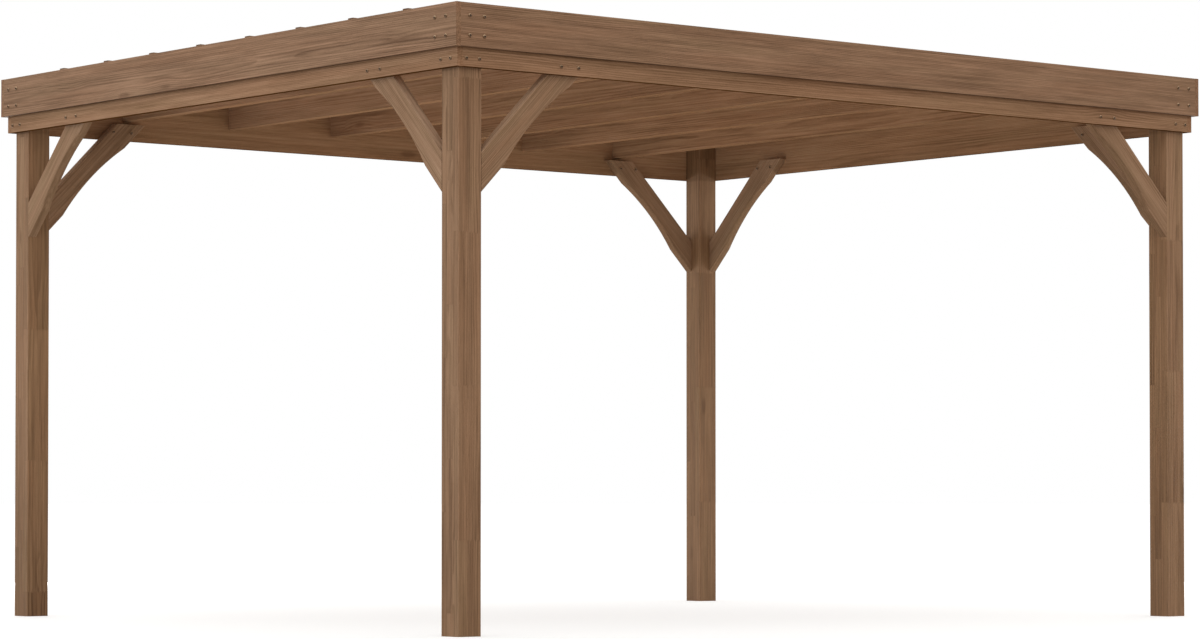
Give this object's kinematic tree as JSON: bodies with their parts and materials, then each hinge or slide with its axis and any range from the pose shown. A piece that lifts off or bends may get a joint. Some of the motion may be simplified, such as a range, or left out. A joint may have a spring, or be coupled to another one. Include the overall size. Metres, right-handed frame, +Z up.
{
  "type": "freestanding timber pergola",
  "caption": "Freestanding flat-roofed timber pergola with square posts, curved knee braces, a ring beam with outer fascia, rafters, a boarded roof and battens.",
  "frame": {"origin": "centre of the footprint, on the ground under the posts", "axes": "+X along the long side towards the right end, +Y towards the back, +Z up"},
  "size_m": [4.388, 3.608, 2.564],
  "materials": {
    "post_wood": "brown-stained laminated wood, matt",
    "ring_beam_wood": "brown-stained planed board, matt",
    "fascia_wood": "brown-stained planed board, matt",
    "brace_wood": "brown-stained planed plank, matt",
    "rafter_wood": "brown-stained planed timber, matt",
    "deck_wood": "brown-stained tongue-and-groove boards, matt",
    "batten_wood": "brown-stained sawn batten, matt"
  },
  "bodies": {
    "root": {"post_front_left": "post_wood", "post_front_right": "post_wood", "post_back_left": "post_wood", "post_back_right": "post_wood", "ring_beam_front": "ring_beam_wood", "ring_beam_back": "ring_beam_wood", "ring_beam_left": "ring_beam_wood", "ring_beam_right": "ring_beam_wood", "fascia_front": "fascia_wood", "fascia_back": "fascia_wood", "fascia_left": "fascia_wood", "fascia_right": "fascia_wood", "brace_front_left": "brace_wood", "brace_front_right": "brace_wood", "brace_back_left": "brace_wood", "brace_back_right": "brace_wood", "brace_left_front": "brace_wood", "brace_left_back": "brace_wood", "brace_right_front": "brace_wood", "brace_right_back": "brace_wood", "rafter_1": "rafter_wood", "rafter_2": "rafter_wood", "rafter_3": "rafter_wood", "rafter_4": "rafter_wood", "rafter_5": "rafter_wood", "rafter_6": "rafter_wood", "roof_deck": "deck_wood", "batten_1": "batten_wood", "batten_2": "batten_wood", "batten_3": "batten_wood", "batten_4": "batten_wood", "batten_5": "batten_wood", "batten_6": "batten_wood", "batten_7": "batten_wood", "batten_8": "batten_wood"}
  },
  "joints": []
}
